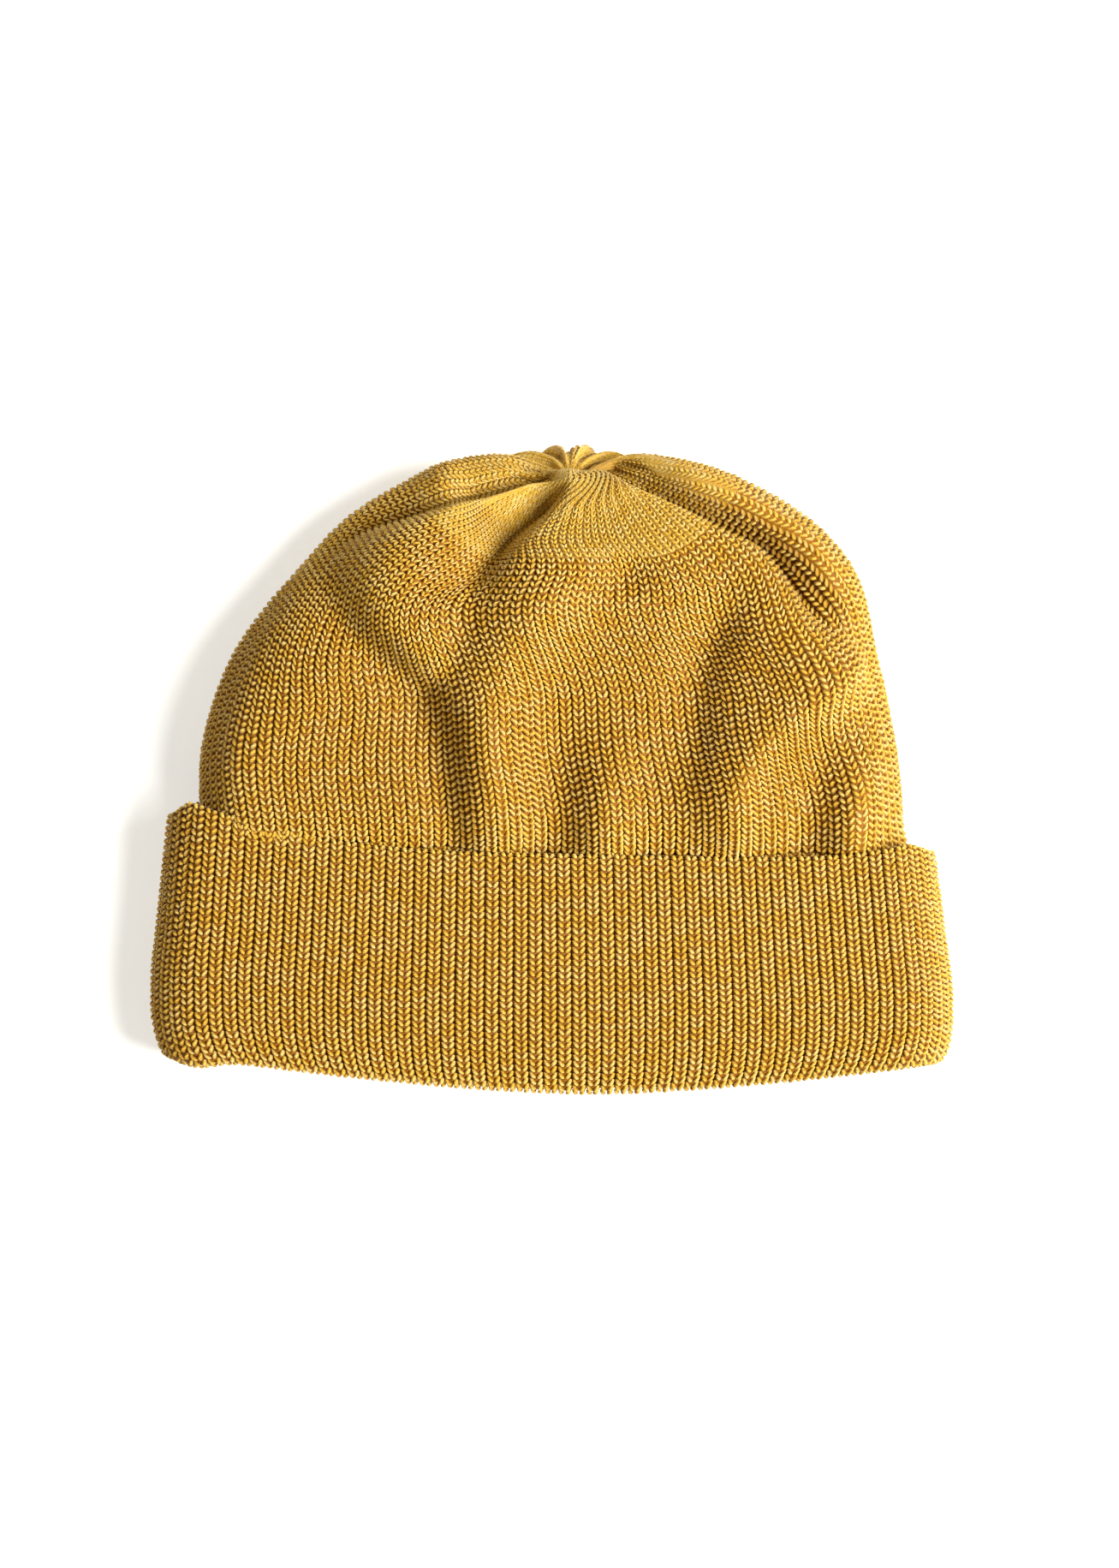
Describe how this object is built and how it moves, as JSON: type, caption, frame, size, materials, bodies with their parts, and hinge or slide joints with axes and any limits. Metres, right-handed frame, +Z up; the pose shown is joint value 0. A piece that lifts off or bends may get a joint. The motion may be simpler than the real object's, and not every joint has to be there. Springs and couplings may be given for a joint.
{
  "type": "watch cap",
  "caption": "Chunky ribbed knit watch cap lying on its back, a close-fitting tube gathered to a point, with a deep turned-up cuff and an open mouth.",
  "frame": {"origin": "middle of the bounding box at floor level, under the cap as it lies on its back", "axes": "+X to the right across the cap, +Y from the mouth to the gathered crown, +Z up through the side the picture shows"},
  "size_m": [0.2338, 0.1894, 0.0573],
  "materials": {
    "knit": "matte chunky wool knit"
  },
  "bodies": {
    "root": {"crown": "knit", "cuff": "knit"}
  },
  "joints": []
}
